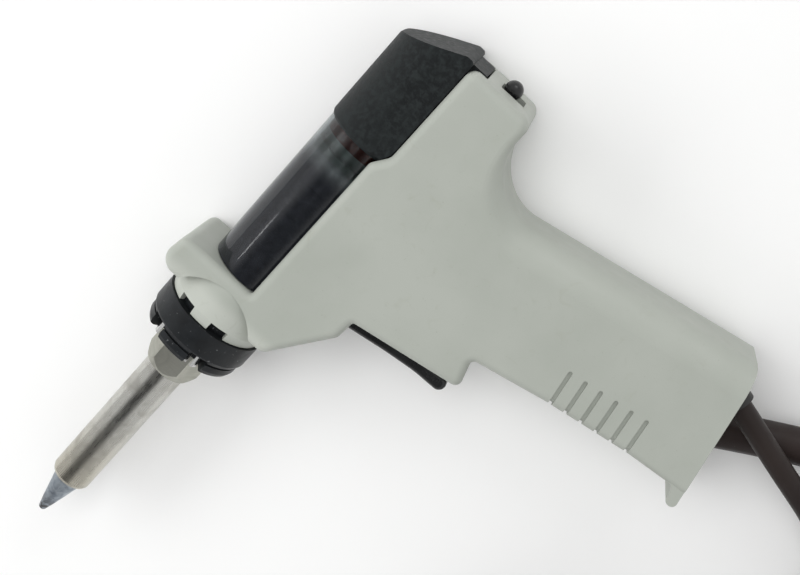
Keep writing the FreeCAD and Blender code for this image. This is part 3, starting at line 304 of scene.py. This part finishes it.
def plastic(name, base, shade, rough, grain_mm=0.35, grain_deep=0.012, blotch_mm=22.0,
            spread=0.06, specks=None, speck_mm=0.6, speck_from=0.66):
    """Moulded plastic or rubber: two close tints in soft blotches, grain, uneven sheen."""
    look = Look(name)
    blotch = look.noise(blotch_mm, 4.0)
    tone = look.mix(look.spread(blotch, 0.35, 0.65), base, shade)
    if specks is not None:
        dots = look.spread(look.noise(speck_mm, 2.0), speck_from, speck_from + 0.06)
        tone = look.mix(dots, tone, specks)
    look.colour(tone)
    wear = look.noise(6.0, 5.0, warp=0.6)
    look.roughness(look.spread(wear, 0.3, 0.7, rough - spread, rough + spread))
    look.bump(look.noise(grain_mm, 2.0), grain_deep)
    look.bump(look.noise(9.0, 2.0), 0.05, 0.4)
    return look


def metal(name, base, shade, rough, along=(1, 1, 1), streak_mm=0.25, deep=0.004,
          spread=0.08, blotch_mm=9.0):
    """Metal with tool marks stretched along one axis and stained patches."""
    look = Look(name).set(Metallic=1.0)
    marks = look.noise(streak_mm, 3.0, along)
    stain = look.noise(blotch_mm, 5.0, warp=0.8)
    tone = look.mix(look.spread(stain, 0.38, 0.68), base, shade)
    look.colour(look.mix(look.spread(marks, 0.3, 0.75, 0.0, 0.45), tone, shade))
    uneven = look.math("ADD", look.spread(stain, 0.3, 0.7, 0.0, spread),
                       look.spread(marks, 0.3, 0.7, rough, rough + spread))
    look.roughness(uneven)
    look.bump(marks, deep)
    return look


def housing_look():
    """Light grey-beige moulding with faint handling marks, and a painted highlight that makes
    the round skirt paler.
    """
    look = Look("housing")
    blotch = look.noise(34.0, 4.0)
    tone = look.mix(look.spread(blotch, 0.35, 0.65), (0.394, 0.414, 0.374),
                    (0.360, 0.381, 0.341))
    # Painted highlight: the round skirt is painted paler than the rest, standing in for the
    # light that its round face catches.
    skirt_x = at(-9.5, 0, 0).x
    pale = look.spread(look.axis(0), skirt_x + 3 * MM, skirt_x - 2 * MM, 0.0, 1.0, True)
    tone = look.mix(pale, tone, (0.452, 0.472, 0.428))
    soil = look.spread(look.noise(5.0, 6.0, warp=1.2), 0.60, 0.78, 0.0, 0.30)
    tone = look.mix(soil, tone, (0.30, 0.305, 0.25))
    fleck = look.spread(look.noise(0.8, 2.0), 0.70, 0.76, 0.0, 0.35)
    look.colour(look.mix(fleck, tone, (0.25, 0.25, 0.21)))
    look.roughness(look.spread(look.noise(8.0, 5.0, warp=0.5), 0.3, 0.7, 0.42, 0.56))
    look.bump(look.noise(0.45, 2.0), 0.016)
    look.bump(look.noise(14.0, 2.0), 0.06, 0.4)
    return look.material


def barrel_look():
    """Polished steel tube: turning marks, straw tint towards the hot front end."""
    look = Look("polished_steel").set(Metallic=1.0)
    marks = look.noise(0.5, 4.0, (12.0, 1.0, 1.0))
    rings = look.noise(0.35, 2.0, (1.0, 40.0, 40.0))
    stain = look.noise(7.0, 5.0, warp=1.0)
    front = look.spread(look.axis(0), at(-100, 0, 0).x, at(-62, 0, 0).x, 1.0, 0.0, True)
    tone = look.mix(front, (0.56, 0.555, 0.52), (0.50, 0.475, 0.405))
    tone = look.mix(look.spread(stain, 0.45, 0.75, 0.0, 0.55), tone, (0.30, 0.285, 0.25))
    look.colour(tone)
    look.roughness(look.math("ADD", look.spread(stain, 0.35, 0.75, 0.0, 0.16),
                             look.spread(marks, 0.3, 0.7, 0.14, 0.30)))
    look.bump(rings, 0.004)
    look.bump(marks, 0.006)
    return look.material


def nozzle_look():
    """Iron-plated tip, blue-grey, with burnt flux near its point."""
    look = Look("plated_nozzle").set(Metallic=1.0)
    stain = look.noise(2.2, 5.0, warp=1.0)
    tip = look.spread(look.axis(0), at(-113, 0, 0).x, at(-106, 0, 0).x, 1.0, 0.0, True)
    tone = look.mix(look.spread(stain, 0.4, 0.7), (0.36, 0.40, 0.44), (0.24, 0.27, 0.31))
    burnt = look.math("MULTIPLY", tip, look.spread(stain, 0.35, 0.6))
    look.colour(look.mix(burnt, tone, (0.10, 0.09, 0.085)))
    look.roughness(look.spread(stain, 0.3, 0.7, 0.34, 0.58))
    look.bump(look.noise(0.4, 4.0), 0.02)
    return look.material


def smoked_look():
    """Dark smoked glass, clearer around the filter holder, with dust and fine wiping marks."""
    look = Look("smoked_glass").set(IOR=1.47)
    haze = look.noise(9.0, 5.0, (3.0, 1.0, 1.0), warp=0.5)
    tone = look.mix(look.spread(haze, 0.3, 0.7), (0.062, 0.068, 0.080), (0.040, 0.045, 0.055))
    clear = look.spread(look.axis(0), at(38, 0, 0).x, at(46, 0, 0).x, 0.0, 1.0, True)
    look.colour(look.mix(clear, tone, (0.24, 0.27, 0.28)))
    dust = look.spread(look.noise(3.0, 5.0, warp=0.8), 0.35, 0.70, 0.82, 0.70)
    look.link(look.math("MAXIMUM", dust, clear), "Transmission Weight")
    look.roughness(look.spread(look.noise(1.2, 4.0, (8.0, 1.0, 1.0)), 0.4, 0.8, 0.035, 0.14))
    look.bump(look.noise(7.0, 2.0, (4.0, 1.0, 1.0)), 0.015)
    return look.material


def cap_look():
    """Matt black heat-resistant moulding with a coarse mottled skin."""
    look = Look("cap_plastic")
    mottle = look.noise(1.5, 3.0, warp=0.4)
    tone = look.mix(look.spread(mottle, 0.42, 0.66), (0.0060, 0.0076, 0.0082),
                    (0.0150, 0.0190, 0.0195))
    cloud = look.spread(look.noise(12.0, 4.0), 0.45, 0.75, 0.0, 0.5)
    look.colour(look.mix(cloud, tone, (0.0130, 0.0170, 0.0170)))
    look.set(Specular_IOR_Level=0.35)
    look.roughness(look.spread(mottle, 0.3, 0.7, 0.50, 0.68))
    look.bump(mottle, 0.10, 0.8)
    look.bump(look.noise(0.35, 2.0), 0.02)
    return look.material


def cord_look(name, base, shade):
    """Matt dark rubber with a few pale specks of dust."""
    look = plastic(name, base, shade, 0.48, 0.4, 0.02, 30.0, 0.08,
                   specks=(0.08, 0.07, 0.065), speck_mm=1.4, speck_from=0.74)
    return look.set(Specular_IOR_Level=0.25).material


LOOKS = {
    "housing": housing_look(),
    "steel": metal("steel", (0.58, 0.57, 0.55), (0.40, 0.39, 0.37), 0.30).material,
    "black_plastic": plastic("black_plastic", (0.010, 0.0105, 0.011), (0.018, 0.0185, 0.019),
                             0.26, 0.3, 0.010, specks=(0.07, 0.07, 0.07),
                             speck_mm=0.9, speck_from=0.72).material,
    "switch_body": plastic("switch_body", (0.03, 0.03, 0.034), (0.05, 0.05, 0.052),
                           0.5).material,
    "red_plastic": plastic("red_plastic", (0.42, 0.02, 0.015), (0.30, 0.015, 0.01),
                           0.4).material,
    "plated_nozzle": nozzle_look(),
    "polished_steel": barrel_look(),
    "nickel": metal("nickel", (0.60, 0.60, 0.54), (0.42, 0.42, 0.37), 0.46,
                    (1.0, 20.0, 20.0), 0.3, 0.006).material,
    "ceramic": plastic("ceramic", (0.72, 0.70, 0.64), (0.62, 0.60, 0.55), 0.6).material,
    "phenolic": plastic("phenolic", (0.008, 0.009, 0.010), (0.015, 0.017, 0.019), 0.42,
                        0.5, 0.03, 9.0, 0.10, specks=(0.12, 0.125, 0.13), speck_mm=1.1,
                        speck_from=0.68).set(Specular_IOR_Level=0.28).material,
    "chrome": metal("chrome", (0.72, 0.72, 0.71), (0.50, 0.50, 0.49), 0.16).material,
    "smoked_glass": smoked_look(),
    "seal_rubber": plastic("seal_rubber", (0.30, 0.045, 0.02), (0.22, 0.03, 0.015),
                           0.6).material,
    "trap_plate": metal("trap_plate", (0.70, 0.70, 0.69), (0.52, 0.52, 0.51), 0.3).material,
    "filter_paper": plastic("filter_paper", (0.78, 0.76, 0.70), (0.60, 0.56, 0.48), 0.85,
                            0.5, 0.12).material,
    "pale_plastic": plastic("pale_plastic", (0.62, 0.62, 0.56), (0.52, 0.52, 0.47),
                            0.5).material,
    "cap_plastic": cap_look(),
    "brass": metal("brass", (0.70, 0.52, 0.24), (0.48, 0.34, 0.15), 0.28).material,
    "clear_hose": plastic("clear_hose", (0.62, 0.60, 0.52), (0.52, 0.50, 0.43),
                          0.35).material,
    "black_rubber": plastic("black_rubber", (0.016, 0.016, 0.016), (0.028, 0.027, 0.026),
                            0.58, 0.5, 0.025).material,
    "wire_red": plastic("wire_red", (0.36, 0.02, 0.018), (0.28, 0.015, 0.014), 0.45).material,
    "wire_blue": plastic("wire_blue", (0.02, 0.05, 0.30), (0.018, 0.04, 0.22), 0.45).material,
    "hose_rubber": cord_look("hose_rubber", (0.017, 0.011, 0.010), (0.027, 0.018, 0.016)),
    "cable_rubber": cord_look("cable_rubber", (0.016, 0.011, 0.010), (0.024, 0.017, 0.015)),
    "tie_plastic": plastic("tie_plastic", (0.018, 0.018, 0.019), (0.03, 0.03, 0.031), 0.5,
                           0.5, 0.05).material,
    "plug_metal": metal("plug_metal", (0.60, 0.60, 0.57), (0.42, 0.42, 0.40), 0.26,
                        (1.0, 1.0, 12.0)).material,
}


def dress(piece, slot):
    """Gives a piece the look of a material slot."""
    piece.data.materials.clear()
    piece.data.materials.append(LOOKS[slot])


for entry in frame["record"]["subparts"]:
    node = nodes[entry["node"]]
    if len(node.material_slots) == 0:
        node.data.materials.append(LOOKS[entry["material_slot"]])
    for place in node.material_slots:
        place.material = LOOKS[entry["material_slot"]]
dress(hose, "hose_rubber")
dress(cable, "cable_rubber")


# ---------------------------------------------------------------- latch spring
WIRE_R = 0.35
SPRING_TURNS = 5
STEPS_PER_TURN = 24


def latch_spring():
    """Coil spring under the latch lug, at the place and size of the CAD release spring."""
    low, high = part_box("release_spring")
    middle = (low + high) / 2
    ring = (high.x - low.x) / 2 - WIRE_R * MM
    foot = low.y + WIRE_R * MM
    rise = high.y - WIRE_R * MM - foot
    data = bpy.data.curves.new("latch_coil", "CURVE")
    data.dimensions = "3D"
    data.bevel_depth = 1.0
    data.bevel_resolution = 3
    data.use_fill_caps = True
    steps = SPRING_TURNS * STEPS_PER_TURN
    spline = data.splines.new("POLY")
    spline.points.add(steps)
    for i, place in enumerate(spline.points):
        turned = 2 * math.pi * i / STEPS_PER_TURN
        place.co = (middle.x + ring * math.cos(turned), foot + rise * i / steps,
                    middle.z - ring * math.sin(turned), 1.0)
        place.radius = WIRE_R * MM
    line = bpy.data.objects.new("latch_line", data)
    mesh = bpy.data.meshes.new_from_object(line)
    bpy.data.objects.remove(line)
    mesh.shade_smooth()
    piece = bpy.data.objects.new("latch_spring", mesh)
    bpy.context.scene.collection.objects.link(piece)
    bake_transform(piece)
    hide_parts("release_spring")
    return piece


spring = latch_spring()
dress(spring, "steel")


# ---------------------------------------------------------------- stage and light
FLOOR_HALF = 4.0       # metres from the middle to each edge
LIT_POINT = (20, -30, 0)
WALL_DARK_WAY = (-0.32, 0.06, 0.95)
WALL_FADE = (("From Min", 0.78), ("From Max", 0.975), ("To Min", 0.70), ("To Max", 0.05))


def add_floor():
    """Plain matt floor at the level that the gun lies on."""
    low = cad_box[0].z
    corners = [(x * FLOOR_HALF, y * FLOOR_HALF, low)
               for x, y in ((-1, -1), (1, -1), (1, 1), (-1, 1))]
    mesh = bpy.data.meshes.new("floor")
    mesh.from_pydata(corners, [], [(0, 1, 2, 3)])
    floor = bpy.data.objects.new("floor", mesh)
    bpy.context.scene.collection.objects.link(floor)
    look = plastic("floor", (0.92, 0.92, 0.915), (0.90, 0.90, 0.895), 0.8, 2.0, 0.02, 300.0)
    floor.data.materials.append(look.material)


add_floor()


def lamp(name, direction, distance, wide, high, power, tint=(1, 1, 1)):
    """Soft rectangular light aimed at the middle of the gun."""
    data = bpy.data.lights.new(name, "AREA")
    data.shape = "RECTANGLE"
    data.size = wide
    data.size_y = high
    data.energy = power
    data.color = tint
    place = bpy.data.objects.new(name, data)
    bpy.context.scene.collection.objects.link(place)
    way = Vector(direction).normalized()
    place.location = at(*LIT_POINT) + way * distance
    place.rotation_mode = "QUATERNION"
    place.rotation_quaternion = way.to_track_quat("Z", "Y")
    return place


key = lamp("key", (-0.32, 0.83, 0.52), 1.1, 0.9, 0.4, 4.0)
key.visible_glossy = False
overhead = lamp("overhead", (0.10, 0.25, 1.0), 1.5, 1.2, 1.2, 10.0)
overhead.visible_glossy = False
lamp("rear", (0.9, 0.1, 0.5), 1.3, 0.6, 0.5, 2.0)
lamp("glint", (-0.36, 0.70, 0.62), 1.1, 0.06, 0.04, 0.05)


def add_world():
    """White surroundings that are dark overhead, so that dark glossy pieces stay dark."""
    world = bpy.data.worlds.new("studio")
    bpy.context.scene.world = world
    world.use_nodes = True
    tree = world.node_tree
    wall = tree.nodes["Background"]
    wall.inputs["Color"].default_value = (1.0, 1.0, 1.0, 1.0)
    sky = tree.nodes.new("ShaderNodeTexCoord")
    toward = tree.nodes.new("ShaderNodeVectorMath")
    toward.operation = "DOT_PRODUCT"
    toward.inputs[1].default_value = Vector(WALL_DARK_WAY).normalized()
    fade = tree.nodes.new("ShaderNodeMapRange")
    fade.interpolation_type = "SMOOTHSTEP"
    for name, number in WALL_FADE:
        fade.inputs[name].default_value = number
    tree.links.new(sky.outputs["Generated"], toward.inputs[0])
    tree.links.new(toward.outputs["Value"], fade.inputs["Value"])
    tree.links.new(fade.outputs["Result"], wall.inputs["Strength"])


add_world()
bpy.context.scene.view_settings.view_transform = "Standard"
